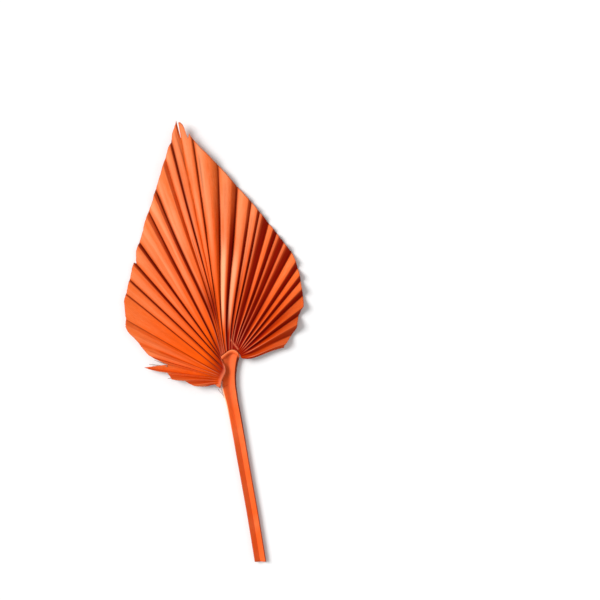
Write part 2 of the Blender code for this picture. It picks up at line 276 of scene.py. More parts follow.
def rib_nearness(x, y):
    """The small slanting rib by the stalk's end: a bell of the distance to its line."""
    span = RIB_ENDS[1] - RIB_ENDS[0]
    x, y = x - RIB_ENDS[0, 0], y - RIB_ENDS[0, 1]
    share = np.clip((x * span[0] + y * span[1]) / (span @ span), 0.0, 1.0)
    return bell(np.hypot(x - share * span[0], y - share * span[1]), 0.0, RIB_HALF_WIDTH)


print("the slanting rib is", np.hypot(*(RIB_ENDS[1] - RIB_ENDS[0])).round(1), "mm long")

# %% [markdown]
# ## The blade's surface
#
# Lines fan out from the inner edge to the rim, and rows cross them. Lines crowd at the folds, where
# the sheet turns, and one more is laid at each corner of the rim. Small slow waves, different for
# each pleat, keep the sheet from looking stamped. A subdivided plane would need far more points to
# keep the folds sharp. An underside closes the sheet, because a leaf is seen from below too.

# %% Blade grid
RISING_STEPS = np.array([0.0, 0.03, 0.08, 0.15, 0.25, 0.42, 0.6, 0.75, 0.85, 0.92, 0.97])
FALLING_STEPS = np.array([0.0, 0.1, 0.35, 0.65, 0.9])
CORNER_ROOM = 0.02
BLADE_ROWS, ROW_CROWDING = 82, 1.2


def blade_lines():
    """Bearings of the fan's lines: steps across both faces of each pleat, and the rim's corners
    that aren't on a line already."""
    rising = PLEATS[:, :1] + RISING_STEPS[None] * (PLEATS[:, 1:2] - PLEATS[:, :1])
    falling = PLEATS[:, 1:2] + FALLING_STEPS[None] * (PLEAT_STARTS[1:, None] - PLEATS[:, 1:2])
    lines = np.append(np.concatenate([rising, falling], axis=1).ravel(), FAN_END)
    apart = np.abs(RIM[:, :1] - lines[None]).min(axis=1)
    return np.sort(np.append(lines, RIM[apart > CORNER_ROOM, 0]))


lines = blade_lines()
shares = np.linspace(0.0, 1.0, BLADE_ROWS) ** ROW_CROWDING
print(len(lines), "lines x", BLADE_ROWS, "rows")

# %% Blade surface
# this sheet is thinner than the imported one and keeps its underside
SHEET_THICK, CAD_SHEET_THICK = 0.62, 1.3
RAG = 0.22
FOLD_ROUNDING = 0.09
RIPPLE, LONG_RIPPLE, SHORT_RIPPLE, SHORT_SHARE, SIDE_TURN = 0.16, 9.0, 4.1, 0.6, 2.0
TIP_WAVE, TIP_WAVE_RATE = 0.9, 0.37
draw = np.random.default_rng(7)


def ripples(distance, side, pleat):
    """Two sines of the distance along each line, whose phases are drawn for each pleat."""
    phase = draw.uniform(0.0, 2.0 * math.pi, (3, len(PLEATS)))[:, pleat]
    slow = np.sin(distance / LONG_RIPPLE + phase[0])
    quick = np.sin(distance / SHORT_RIPPLE + phase[1] + SIDE_TURN * side)
    return RIPPLE * (slow + SHORT_SHARE * quick)


def blade_surface(bearings, shares):
    """Upper surface: each line runs straight from its hub point to its rim point, drawn back there
    by up to twice the rag, and bows sideways. Its height is the slow shape, the rounded fold, the
    relief near the hub, the ripples, which ease in over the first third, and a wave that grows
    with the cube of the share."""
    inner = hub_points(bearings)
    outer = rim_points(bearings)
    drawn_back = RAG * (1.0 - draw.uniform(-1.0, 1.0, len(bearings)))
    span = outer * (1.0 - drawn_back / np.linalg.norm(outer, axis=1))[:, None] - inner
    length = np.linalg.norm(span, axis=1)
    clockwise = np.stack([span[:, 1], -span[:, 0]], axis=-1) / length[:, None]
    plan = inner[None] + shares[:, None, None] * span[None]
    plan = plan + line_bow(bearings, shares)[..., None] * clockwise[None]
    x, y = plan[..., 0], plan[..., 1]
    distance = length[None] * shares[:, None]
    side = fold_side(bearings)
    rounded = soft_side(bearings, side) * (1.0 + FOLD_ROUNDING * (1.0 - side**8))
    fold = fold_height(bearings, shares, rounded) * hub_calm(bearings, distance)
    relief = ear_height(bearings, distance) + RIB_RISE * rib_nearness(x, y)
    ripple = ripples(distance, side, pleat_number(bearings)) * smooth(shares * 3.0)[:, None]
    wave = TIP_WAVE * np.sin(TIP_WAVE_RATE * bearings)[None] * shares[:, None] ** 3
    z = middle_height(x, y) + fold + relief + wave + ripple - (CAD_SHEET_THICK - SHEET_THICK)
    return np.stack([x, y, z], axis=-1)


blade_top = blade_surface(lines, shares)
blade_bottom = blade_top - np.array([0.0, 0.0, SHEET_THICK])
print("heights", blade_top[..., 2].min().round(2), "to", blade_top[..., 2].max().round(2), "mm")

# %% Place of the fan centre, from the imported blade's box
cad_blade_low, cad_blade_high = (np.array(corner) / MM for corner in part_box("blade"))
fan_origin = np.array([
    cad_blade_low[0] - outline[:, 0].min(),
    cad_blade_high[1] - outline[:, 1].max(),
    cad_blade_low[2] - blade_bottom[..., 2].min(),
])
print("fan centre at", fan_origin.round(2), "mm")


# %% [markdown]
# ## A closed sheet from two grids
#
# Every piece is a sheet: an upper and a lower grid of points, joined by a wall round their border.
# One helper makes that mesh. It also stores what the materials need on each point: a fibre map as
# UV, and named values such as how near a point is to a fold. Solidify would give the walls too, but
# then the stalk's underside could not have a form of its own.

# %% Sheet helper
def placed(name, data):
    """A new object in the scene that carries the given data."""
    made = bpy.data.objects.new(name, data)
    bpy.context.scene.collection.objects.link(made)
    return made


def sheet_faces(rows, columns):
    """Quads between neighbours of the upper grid, the same ones turned over below, and the wall,
    which starts with its stretch along row 0."""
    index = np.arange(rows * columns).reshape(rows, columns)
    under = rows * columns
    cells = [index[:-1, :-1], index[:-1, 1:], index[1:, 1:], index[1:, :-1]]
    upper = np.stack([c.ravel() for c in cells], axis=1)
    lower = upper[:, ::-1] + under
    border = np.concatenate([index[0, :], index[1:, -1], index[-1, -2::-1], index[-2:0:-1, 0]])
    after = np.roll(border, -1)
    wall = np.stack([after, border, border + under, after + under], axis=1)
    return np.concatenate([upper, lower, wall]), len(wall)


def sheet_piece(name, top, bottom, fibre_map, values, looks):
    """One closed mesh from two grids in the fan's millimetres, with a UV map, a float attribute for
    each named grid, and its materials: the first on both faces, the second on the wall, the third
    on the wall's stretch along row 0."""
    rows, columns = top.shape[:2]
    faces, wall_count = sheet_faces(rows, columns)
    points = np.concatenate([top.reshape(-1, 3), bottom.reshape(-1, 3)])
    points = (points + fan_origin) * MM
    mesh = bpy.data.meshes.new(name)
    mesh.vertices.add(len(points))
    mesh.vertices.foreach_set("co", points.astype(np.float32).ravel())
    mesh.loops.add(faces.size)
    mesh.loops.foreach_set("vertex_index", faces.astype(np.int32).ravel())
    mesh.polygons.add(len(faces))
    mesh.polygons.foreach_set("loop_start", np.arange(0, faces.size, 4, dtype=np.int32))
    for look in looks:
        mesh.materials.append(look)
    slots = np.zeros(len(faces), dtype=np.int32)
    wall_start = len(faces) - wall_count
    slots[wall_start:] = min(1, len(looks) - 1)
    slots[wall_start:wall_start + columns - 1] = min(2, len(looks) - 1)
    mesh.polygons.foreach_set("material_index", slots)
    mesh.update(calc_edges=True)
    for label, grid in values.items():
        both = np.tile(np.broadcast_to(grid, (rows, columns)).ravel(), 2)
        layer = mesh.attributes.new(label, "FLOAT", "POINT")
        layer.data.foreach_set("value", both.astype(np.float32))
    uv = mesh.uv_layers.new(name="fibres")
    both = np.tile(fibre_map.reshape(-1, 2), (2, 1))
    uv.data.foreach_set("uv", both[faces.ravel()].astype(np.float32).ravel())
    mesh.validate()
    mesh.shade_smooth()
    print(name + ":", len(faces), "quads")
    return placed(name, mesh)


# %% [markdown]
# ## Node helpers
#
# Every finish below is a small graph of nodes. These helpers add a node and join it in one line.

# %% Node helpers
def graph(name):
    """A new material with its node tree and its Principled shader."""
    look = bpy.data.materials.new(name)
    look.use_nodes = True
    return look, look.node_tree, look.node_tree.nodes["Principled BSDF"]


def node(tree, kind, **settings):
    """Add one node and set its plain properties."""
    made = tree.nodes.new(kind)
    for key, value in settings.items():
        setattr(made, key, value)
    return made


def put(tree, target, value):
    """Feed a socket from another socket, or set its own value."""
    if isinstance(value, bpy.types.NodeSocket):
        tree.links.new(value, target)
    else:
        target.default_value = value


def coordinates(tree):
    """The piece's fibre map and its place in the object's own space."""
    fibres = node(tree, "ShaderNodeUVMap", uv_map="fibres").outputs["UV"]
    return fibres, node(tree, "ShaderNodeTexCoord").outputs["Object"]


def attribute(tree, name):
    """A named float value of the mesh."""
    return node(tree, "ShaderNodeAttribute", attribute_name=name).outputs["Fac"]


def math_node(tree, operation, a, b):
    """One Math node."""
    made = node(tree, "ShaderNodeMath", operation=operation)
    put(tree, made.inputs[0], a)
    put(tree, made.inputs[1], b)
    return made.outputs[0]


def times(tree, a, b):
    """The product of two values."""
    return math_node(tree, "MULTIPLY", a, b)


def ranged(tree, value, low, high, new_low=0.0, new_high=1.0, ease="SMOOTHSTEP"):
    """Map a value from one range to another, held at the ends."""
    made = node(tree, "ShaderNodeMapRange", interpolation_type=ease)
    for k, v in enumerate((value, low, high, new_low, new_high)):
        put(tree, made.inputs[k], v)
    return made.outputs[0]


def mixed(tree, share, a, b):
    """Mix two colours."""
    made = node(tree, "ShaderNodeMix", data_type="RGBA")
    put(tree, made.inputs["Factor"], share)
    put(tree, made.inputs["A"], a)
    put(tree, made.inputs["B"], b)
    return made.outputs["Result"]


def noise(tree, vector, scale, detail, roughness=0.5):
    """A noise pattern from 0 to 1 over the given coordinates."""
    made = node(tree, "ShaderNodeTexNoise")
    put(tree, made.inputs["Vector"], vector)
    made.inputs["Scale"].default_value = scale
    made.inputs["Detail"].default_value = detail
    made.inputs["Roughness"].default_value = roughness
    return made.outputs["Fac"]


def fibre_noise(tree, fibres, across, along, detail, roughness):
    """Noise drawn out along the fibre map, with a scale for each of its two directions."""
    made = node(tree, "ShaderNodeMapping")
    put(tree, made.inputs["Vector"], fibres)
    made.inputs["Scale"].default_value = (across, along, 1.0)
    return noise(tree, made.outputs["Vector"], 1.0, detail, roughness)


def fibrous(tree, shader, body, fine, streak, roughness, specular, relief):
    """Join the colour, a roughness that follows the fine fibres, and fine relief to the shader."""
    put(tree, shader.inputs["Base Color"], body)
    put(tree, shader.inputs["Roughness"], ranged(tree, fine, 0.2, 0.8, *roughness, "LINEAR"))
    shader.inputs["Specular IOR Level"].default_value = specular
    bump = node(tree, "ShaderNodeBump")
    bump.inputs["Strength"].default_value = relief
    bump.inputs["Distance"].default_value = 0.0003
    put(tree, bump.inputs["Height"], math_node(tree, "ADD", fine, streak))
    put(tree, shader.inputs["Normal"], bump.outputs["Normal"])


def colour(red, green, blue):
    """A colour from 0 to 255 in display values, as the shader wants it: linear, with alpha."""
    shown = np.array([red, green, blue]) / 255.0
    linear = np.where(shown <= 0.04045, shown / 12.92, ((shown + 0.055) / 1.055) ** 2.4)
    return (*[float(v) for v in linear], 1.0)


# %% [markdown]
# ## Where the dye, painted shade and painted highlights lie
#
# The dry blade soaked up an orange dye. Deep red in the folds and on the faces turned away from the
# key light is partly that dye and partly painted shade, and the blade is darker towards the hub.
# Pale, cream and light places are painted highlights on the faces and ridges turned to the key
# light. The next cells turn that into numbers on the points: how deep, how near a crease, how pale,
# how creamy, how light. They are computed from the folds themselves, so the colour keeps to them
# from any side, which a picture laid over the blade from above would not.

# %% Places on the blade's grid
RIM_FADE_FROM, RIM_FADE_LENGTH = 0.6, 0.35
GORGE_FROM, GORGE_TURN, GORGE_LENGTH = 11.0, 4.0, 85.0


def grid_places(bearings, shares):
    """What the dye formulas start from: each line's pleat and level in it, the pleat's width in mm
    and opening in degrees, the climb from 0 at a valley to 1 at the ridge, the distance from the
    inner edge, and the share of the gorge, where the folds of the right half close up."""
    pleat = pleat_number(bearings)
    opening = PLEAT_STARTS[pleat + 1] - PLEAT_STARTS[pleat]
    length = np.linalg.norm(rim_points(bearings) - hub_points(bearings), axis=1)
    distance = shares[:, None] * length[None]
    by_side = eased(bearings, GORGE_FROM, GORGE_TURN)[None]
    return SimpleNamespace(
        bearings=bearings, shares=shares[:, None], pleat=pleat, opening=opening[None],
        level=((bearings - PLEAT_STARTS[pleat]) / opening)[None],
        width=pleat_widths(shares)[:, pleat],
        climb=0.5 * (fold_side(bearings)[None] + 1.0),
        rising=(bearings <= PLEATS[pleat, 1])[None],
        distance=distance, calm=hub_calm(bearings, distance),
        by_rim=eased(shares, RIM_FADE_FROM, RIM_FADE_LENGTH)[:, None],
        gorge=by_side * (1.0 - smooth(distance / GORGE_LENGTH)),
    )


at = grid_places(lines, shares)
print("lines are up to", at.distance.max().round(), "mm long")

# %% Depth of the dye and painted shade: for each pleat, on its rising and on its falling face, which
# is turned away from the key light, and how much of that the rim loses, then paleness and cream,
# both painted highlights
DYE_AND_PAINTED_LIGHT = np.array([
    (0.0, 0.2, 0.0, 0.5, 0.0), (0.0, 0.4, 0.0, 0.5, 0.0), (0.0, 0.35, 0.0, 0.5, 0.0),
    (0.0, 0.15, 0.0, 0.4, 0.0), (0.15, 0.35, 0.0, 0.2, 0.0), (0.05, 0.3, 0.7, 0.4, 0.0),
    (0.0, 0.1, 0.0, 0.3, 0.0), (0.0, 0.15, 0.0, 0.1, 0.0), (0.0, 0.85, 0.6, 0.3, 0.0),
    (0.0, 0.8, 0.7, 0.4, 0.0), (0.0, 0.8, 0.1, 0.6, 0.0), (0.0, 0.65, 0.8, 0.7, 0.0),
    (0.0, 0.75, 0.8, 0.9, 0.0), (0.0, 0.15, 0.5, 0.8, 0.0), (0.05, 0.85, 0.3, 0.8, 0.0),
    (0.1, 0.05, 0.0, 0.7, 0.0), (0.05, 0.25, 0.6, 0.8, 0.0), (0.05, 0.25, 0.8, 0.8, 0.0),
    (0.0, 0.95, 0.5, 0.7, 1.0), (0.0, 0.95, 0.3, 0.6, 0.75), (0.1, 0.9, 0.2, 0.6, 0.0),
    (0.25, 0.95, 0.0, 0.5, 0.0), (0.05, 0.95, 0.0, 0.4, 0.0), (0.2, 0.95, 0.0, 0.3, 0.0),
    (0.15, 0.95, 0.0, 0.3, 0.0), (0.0, 0.95, 0.0, 0.2, 0.0), (0.0, 0.95, 0.0, 0.1, 0.0),
    (0.05, 0.95, 0.0, 0.1, 0.0), (0.3, 0.9, 0.0, 0.0, 0.0), (0.38, 0.8, 0.0, 0.0, 0.0),
    (0.42, 0.65, 0.0, 0.1, 0.0),
])
RIDGE_DEPTH, PAST_RIDGE_DEPTH = 0.22, 0.55
# depth by the hub: bearing, share
HUB_DEEP = np.array([
    (-100.0, 0.3), (-75.0, 0.6), (-50.0, 0.95), (-20.0, 0.9), (8.0, 0.65), (14.0, 0.5),
    (34.0, 0.45), (60.0, 0.25),
])
HUB_DEEP_LENGTH = 28.0
# the throat: a deep patch on the middle pleats
THROAT = np.array([(-13.2, 0.0), (-11.5, 1.0), (1.0, 1.0), (5.0, 0.0)])
THROAT_DEPTH, THROAT_AT, THROAT_WIDTH = 0.75, 42.0, 20.0
GORGE_DEPTH, GORGE_LOW, GORGE_RISE, GORGE_END, GORGE_END_TURN = 0.9, 0.45, 0.4, 80.0, 20.0


def face_dye_and_shade(at):
    """Depth by face, dye and painted shade: the rising face's value, moved towards the falling
    face's by a little at the ridge, by half past it, and fully at the valley. The falling face's
    greater depth paints the shade of a face turned away from the key light. The rim loses its share
    of that move."""
    lit, shaded, fades = DYE_AND_PAINTED_LIGHT[at.pleat, :3].T[:, None]
    rising = RIDGE_DEPTH * eased(at.climb, 0.5, 0.5)
    falling = PAST_RIDGE_DEPTH + (1.0 - PAST_RIDGE_DEPTH) * smooth((1.0 - at.climb) / 0.4)
    turned = np.where(at.rising, rising, falling)
    return lit + (shaded - lit) * turned * (1.0 - fades * at.by_rim)


def hub_depth(at):
    """Depth by the hub, which eases out with distance, plus the throat, a bell of the distance."""
    by_hub = 1.0 - smooth(at.distance / HUB_DEEP_LENGTH)
    throat = by_bearing(THROAT, at.bearings) * bell(at.distance, THROAT_AT, THROAT_WIDTH)
    return by_hub * by_bearing(HUB_DEEP, at.bearings) + THROAT_DEPTH * throat


def gorge_shade(at):
    """Painted shade low on the rising faces in the gorge, where the folds close up, eased out up the
    face and to the fan's end.
    """
    low = 1.0 - eased(at.climb, GORGE_LOW, GORGE_RISE)
    before_end = smooth((GORGE_END - at.bearings) / GORGE_END_TURN)[None]
    return np.where(at.rising, GORGE_DEPTH * at.gorge * low * before_end, 0.0)


# the deep value is dye and painted shade on the falling faces and in the gorge, and darker towards
# the hub
deep_dye_and_shade = np.clip(face_dye_and_shade(at) + hub_depth(at) + gorge_shade(at), 0.0, 1.0)
print("mean depth of the dye:", deep_dye_and_shade.mean().round(2))

# %% Creases, dye and painted shade in the folds: for each, darkness and how many mm it reaches
# before and after the fold
CREASES = np.array([
    (0.3, 0.5, 0.5), (0.4, 0.6, 0.5), (0.5, 0.8, 0.5), (0.6, 0.8, 0.5), (0.4, 0.6, 0.5),
    (0.5, 0.8, 0.5), (0.15, 2.6, 0.5), (0.7, 1.2, 0.5), (0.8, 1.5, 0.5), (0.9, 2.7, 0.6),
    (1.0, 3.2, 0.7), (1.0, 3.2, 0.8), (1.0, 2.5, 1.2), (1.0, 1.3, 3.2), (0.5, 1.8, 0.8),
    (1.0, 1.7, 2.0), (0.0, 1.0, 0.5), (1.0, 1.4, 0.9), (1.0, 1.9, 0.9), (1.0, 2.3, 0.9),
    (0.9, 2.0, 0.7), (0.9, 1.6, 0.7), *[(0.9, 2.0, 0.7)] * 6, (0.8, 2.0, 0.7), (0.9, 2.0, 0.7),
    (0.6, 1.5, 0.7), (0.3, 1.0, 0.5),
])
# how much of a crease's darkness the rim loses: one crease left of the tip fades out there
CREASE_FADES = np.zeros(len(CREASES))
CREASE_FADES[14] = 0.85
MOST_BEFORE, MOST_AFTER, MOST_AFTER_IN_GORGE, GORGE_STRETCH = 0.55, 0.3, 0.15, 2.0
NARROW_DARK, NARROW_FROM, NARROW_LENGTH = 0.65, 1.5, 3.0
EDGE_LOSS, EDGE_FROM, EDGE_LENGTH = 0.2, 0.955, 0.035


def crease_dark(at):
    """Darkness by the nearer crease of a pleat, dye and painted shade in the fold: an eased fall
    over its reach, or over a share of the pleat's width where that is less. In the gorge it reaches
    up to three times as far past a crease. It is weaker where the pleats are narrow, and a little
    weaker at the very rim."""
    dark_first, _, after = CREASES[at.pleat].T[:, None]
    dark_next, before, _ = CREASES[at.pleat + 1].T[:, None]
    dark_first = dark_first * (1.0 - CREASE_FADES[at.pleat] * at.by_rim)
    dark_next = dark_next * (1.0 - CREASE_FADES[at.pleat + 1] * at.by_rim)
    most_after = (MOST_AFTER + MOST_AFTER_IN_GORGE * at.gorge) * at.width
    after = np.minimum(after * (1.0 + GORGE_STRETCH * at.gorge), most_after)
    before = np.minimum(before, MOST_BEFORE * at.width)
    first = dark_first * (1.0 - smooth(at.level * at.width / after))
    following = dark_next * (1.0 - smooth((1.0 - at.level) * at.width / before))
    narrow = NARROW_DARK + (1.0 - NARROW_DARK) * eased(at.width, NARROW_FROM, NARROW_LENGTH)
    at_rim = 1.0 - EDGE_LOSS * eased(at.shares, EDGE_FROM, EDGE_LENGTH)
    return np.maximum(first, following) * at.calm * at_rim * narrow


# %% Fine lines: bearing at the rim and at share 0.6, the shares between which each shows, its half
# width in mm, and its darkness, dye and painted shade along creases and shaded edges, or its
# lightness, a painted highlight, where that is below zero
FINE_LINES = np.array([
    (-2.65, -0.9, 0.75, 1.0, 0.6, 0.5), (-1.9, -1.7, 0.91, 1.02, 0.7, 0.9),
    (2.45, 2.0, 0.72, 0.97, 0.5, 0.45), (-11.6, -10.9, 0.62, 1.0, 1.1, -1.0),
    (-9.6, -9.3, 0.7, 1.0, 0.8, -1.0), (-10.6, -10.1, 0.66, 1.0, 0.6, 0.35),
    (-13.6, -13.5, 0.66, 1.0, 0.5, -0.35), (-4.9, -5.3, 0.2, 0.8, 0.5, -0.5),
    (-5.6, -5.9, 0.15, 0.6, 0.4, 0.5), (-10.3, -10.6, 0.15, 0.5, 0.5, -0.6),
    (-15.4, -15.6, 0.55, 1.0, 1.4, -0.5), (-22.6, -22.3, 0.3, 0.95, 1.5, -0.3),
    (-30.6, -30.4, 0.3, 0.9, 1.2, -0.3), (-71.8, -71.5, 0.3, 0.95, 1.2, 0.25),
    (-52.6, -52.0, 0.25, 0.95, 1.6, 0.12), (-63.5, -63.0, 0.2, 0.9, 1.8, 0.15),
    (9.3, 9.2, 0.55, 0.95, 1.2, 0.25), (15.4, 15.2, 0.6, 0.98, 0.5, 0.4),
    (20.0, 19.9, 0.3, 0.95, 0.5, 0.4), (7.35, 7.3, 0.45, 1.02, 0.9, 1.0),
    (13.3, 13.25, 0.5, 1.02, 0.9, 1.0),
])
INNER_SHARE, HUB_RADIUS = 0.6, 12.0
LINE_START, LINE_STOP = 0.08, 0.04


def fine_lines(at):
    """The greatest bell across any dark line, dye and painted shade, and across any light one, a
    painted highlight. A line's bearing runs straight from its rim value through its inner one, and
    its ends are eased."""
    dark = np.zeros(at.distance.shape)
    painted_highlight = np.zeros(at.distance.shape)
    for rim_bearing, inner_bearing, start, stop, half, value in FINE_LINES:
        inwards = (1.0 - at.shares) / (1.0 - INNER_SHARE)
        bearing = rim_bearing + (inner_bearing - rim_bearing) * inwards
        away = np.radians(at.bearings[None] - bearing) * (at.distance + HUB_RADIUS)
        shown = eased(at.shares, start, LINE_START)
        shown = shown * (1.0 - eased(at.shares, stop - LINE_STOP, LINE_STOP))
        # dark lines are dye and painted shade, light lines are painted highlights
        kind = dark if value > 0 else painted_highlight
        np.maximum(kind, abs(value) * bell(away, 0.0, half) * shown, out=kind)
    return dark, painted_highlight


crease_and_shade_lines, painted_highlight_lines = fine_lines(at)
crease_dye_and_shade = np.maximum(crease_dark(at), crease_and_shade_lines)
print(len(CREASES), "creases and", len(FINE_LINES), "fine lines")

# %% Pale, creamy and light places: painted highlights
PALE_START, PALE_LENGTH = 0.12, 0.65
CREAM_SPAN = (0.10, 0.26, 0.48, 0.70)
RIDGE_WIDTH, RIDGE_LENGTH, RIDGE_LIGHT = 0.5, 60.0, 0.10
RIDGE_HUB_LIGHT = np.array([(8.0, 0.75), (16.0, 0.9)])
EAR_LIGHT, EAR_LIGHT_WIDTH, RIB_LIGHT = 0.8, 4.4, 0.8


def lit_face_highlight(at):
    """Paleness, a painted highlight on the faces turned to the key light, growing from the hub to
    the rim. On a rising face it eases in over a quarter of the climb and sinks to three tenths at
    the ridge. On a falling face it is a fifth of the climb."""
    rising = smooth(at.climb / 0.25) * (1.0 - 0.7 * eased(at.climb, 0.45, 0.55))
    grown = eased(at.shares, PALE_START, PALE_LENGTH)
    return DYE_AND_PAINTED_LIGHT[at.pleat, 3][None] * np.where(at.rising, rising, 0.2 * at.climb) * grown


def cream_highlight_strips(at):
    """Cream, a painted highlight on the rising faces in the middle, turned to the key light, eased
    in and out along the line and up the face.
    """
    start, full, waning, end = CREAM_SPAN
    shown = eased(at.shares, start, full - start) * (1.0 - eased(at.shares, waning, end - waning))
    strip = smooth(at.climb / 0.25) * (1.0 - eased(at.climb, 0.55, 0.4))
    return DYE_AND_PAINTED_LIGHT[at.pleat, 4][None] * np.where(at.rising, strip, 0.0) * shown


def highlight_places(at, plan):
    """Painted highlights, the greatest of three: the ridges, most near the hub, the rolled inner
    edge of the left half, and the slanting rib."""
    from_ridge = np.abs(at.bearings - PLEATS[at.pleat, 1])[None] * at.width / at.opening
    by_hub = by_bearing(RIDGE_HUB_LIGHT, at.bearings) * (1.0 - smooth(at.distance / RIDGE_LENGTH))
    ridge = (1.0 - smooth(from_ridge / RIDGE_WIDTH)) * (RIDGE_LIGHT + by_hub) * at.calm
    ear = by_bearing(EAR, at.bearings) * (1.0 - smooth(at.distance / EAR_LIGHT_WIDTH))
    rib = rib_nearness(plan[..., 0], plan[..., 1])
    return np.maximum(np.maximum(ridge, EAR_LIGHT * ear), RIB_LIGHT * rib)


# values on the blade's points: deep and crease are dye and painted shade, pale, cream and light are
# painted highlights
dye_and_painted_light = {
    "deep_dye_and_shade": deep_dye_and_shade,
    "crease_dye_and_shade": crease_dye_and_shade,
    "pale": np.maximum(lit_face_highlight(at), painted_highlight_lines),
    "painted_cream_highlight": cream_highlight_strips(at),
    "painted_highlight": highlight_places(at, blade_top[..., :2]),
}
print({name: round(float(grid.max()), 2) for name, grid in dye_and_painted_light.items()})

# %% [markdown]
# ## The leaf's finish
#
# The finish mixes its colours by those numbers and adds what the eye expects of a dry leaf: fibres
# that run from the hub to the rim, blotches where the dye took unevenly, and a scorched rim. The
# fibres are noise drawn out along the fibre map, so they follow every line of the fan.

# %% Leaf finish
LEAF_VIVID = colour(244, 88, 0)
LEAF_WARM = colour(244, 110, 44)
LEAF_PALE = colour(250, 158, 110)
# the deep and crease colours serve the dye's deep red and painted shade, the pale one pale fibres
# and painted highlights
LEAF_DEEP = colour(138, 10, 0)
LEAF_CREASE = colour(98, 2, 0)
LEAF_RIDGE_HIGHLIGHT = colour(240, 126, 88)
LEAF_CREAM_HIGHLIGHT = colour(250, 180, 134)
LEAF_SCORCH = colour(160, 62, 34)


def leaf_finish(name):
    """Vivid to warm along the blade, then pale, deep, cream, light and crease, each by its own
    value, with fibres in colour and bump. Pale, cream and light are painted highlights; deep and
    crease are dye and painted shade."""
    look, tree, shader = graph(name)
    fibres, place = coordinates(tree)
    along = attribute(tree, "along")
    blotch = noise(tree, place, 22.0, 3.0)
    fine = fibre_noise(tree, fibres, 14.0, 40.0, 2.0, 0.6)
    streak = fibre_noise(tree, fibres, 3.2, 14.0, 3.0, 0.6)
    broad = fibre_noise(tree, fibres, 0.55, 1.4, 2.0, 0.5)
    warmth = math_node(tree, "ADD", along, times(tree, blotch, 0.5))
    outer = ranged(tree, along, 0.2, 0.8)
    pale_streak = times(tree, ranged(tree, streak, 0.45, 0.75, 0.0, 0.22), outer)
    banded = times(tree, attribute(tree, "pale"), ranged(tree, broad, 0.3, 0.62, 0.35, 1.0))
    body = mixed(tree, ranged(tree, warmth, 0.75, 1.35), LEAF_VIVID, LEAF_WARM)
    body = mixed(tree, times(tree, attribute(tree, "tint"), 0.08), body, LEAF_DEEP)
    body = mixed(tree, pale_streak, body, LEAF_PALE)
    body = mixed(tree, ranged(tree, streak, 0.25, 0.48, 0.14, 0.0), body, LEAF_DEEP)
    # pale: painted highlight on the faces turned to the key light
    body = mixed(tree, banded, body, LEAF_PALE)
    # deep red: dye and painted shade on the faces turned away from the key light and in the folds
    body = mixed(tree, attribute(tree, "deep_dye_and_shade"), body, LEAF_DEEP)
    # cream: painted highlight on the faces turned to the key light
    body = mixed(tree, times(tree, attribute(tree, "painted_cream_highlight"), 0.9), body, LEAF_CREAM_HIGHLIGHT)
    # light: painted highlight on the ridges, the rolled edge and the rib
    body = mixed(tree, attribute(tree, "painted_highlight"), body, LEAF_RIDGE_HIGHLIGHT)
    body = mixed(tree, ranged(tree, fine, 0.3, 0.7, 0.14, 0.0), body, LEAF_CREASE)
    # crease darkness: dye and painted shade in the folds
    body = mixed(tree, attribute(tree, "crease_dye_and_shade"), body, LEAF_CREASE)
    body = mixed(tree, ranged(tree, along, 0.988, 1.0, 0.0, 0.4), body, LEAF_SCORCH)
    fibrous(tree, shader, body, fine, streak, (0.5, 0.68), 0.03, 0.35)
    return look


def cut_finish(name, pale, dark):
    """The sheared edge: pale dry tissue with dark fibre ends across it."""
    look, tree, shader = graph(name)
    grain = noise(tree, coordinates(tree)[1], 1400.0, 3.0, 0.7)
    body = mixed(tree, ranged(tree, grain, 0.35, 0.65), dark, pale)
    put(tree, shader.inputs["Base Color"], body)
    shader.inputs["Roughness"].default_value = 0.8
    return look


leaf_look = leaf_finish("dyed_leaf")
leaf_cut_look = cut_finish("leaf_cut_edge", colour(214, 104, 52), colour(130, 44, 20))
print("the leaf's finish has", len(leaf_look.node_tree.nodes), "nodes")

# %% [markdown]
# ## The blade
#
# The blade piece stands for the imported blade. Its lines and rows go into the sheet helper with the
# values that the finish reads: the dye, painted shade and painted highlight values, how far along a
# line a point is, and a tint drawn for each pleat. One sheet was chosen over thirty-one joined
# strips, because the folds of a real leaf aren't seams.

# %% Blade piece
pleat_tint = draw.uniform(0.0, 1.0, len(PLEATS))[pleat_number(lines)]
length = np.linalg.norm(blade_top[..., :2] - blade_top[:1, :, :2], axis=-1)
blade_fibres = np.stack([np.broadcast_to(lines[None], length.shape), 0.01 * length], axis=-1)
blade = sheet_piece(
    "pleated_blade",
    blade_top,
    blade_bottom,
    blade_fibres,
    {"along": shares[:, None], "tint": pleat_tint[None], **dye_and_painted_light},
    [leaf_look, leaf_cut_look],
)
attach(blade, "root")
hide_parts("blade")

# %% [markdown]
# ## Loose fibres
#
# Where the outer leaflets were torn away, a few grey fibres stand off the lower left rim and beside
# the stalk's neck. Each is a narrow closed ribbon along a straight line with a slow sag, made by
# the same sheet helper. A hair system would suit hundreds of them, but not six in known places.

# %% Fibres: start and end in the fan's plan with the heights there, and width, all in mm
FIBRES = np.array([
    (-55.8, 6.8, 6.2, -66.8, 12.7, 3.6, 0.7), (-55.6, 5.1, 5.8, -71.8, 9.1, 3.0, 1.0),
    (-51.0, -5.4, 5.6, -57.1, -3.3, 4.2, 0.8), (-52.5, -7.3, 5.2, -57.7, -6.5, 3.8, 0.8),
    (-11.6, -20.5, 4.6, -11.3, -33.0, 1.6, 0.6), (-14.4, -24.0, 4.2, -12.0, -31.0, 1.2, 0.5),
])
FIBRE_ROWS, FIBRE_THICK = 14, 0.3
FIBRE_SAG, FIBRE_BEND, FIBRE_TAPER, FIBRE_CROWN = 0.5, 0.4, 0.6, 0.1
fibre_look = cut_finish("loose_fibre", colour(190, 152, 132), colour(84, 60, 50))


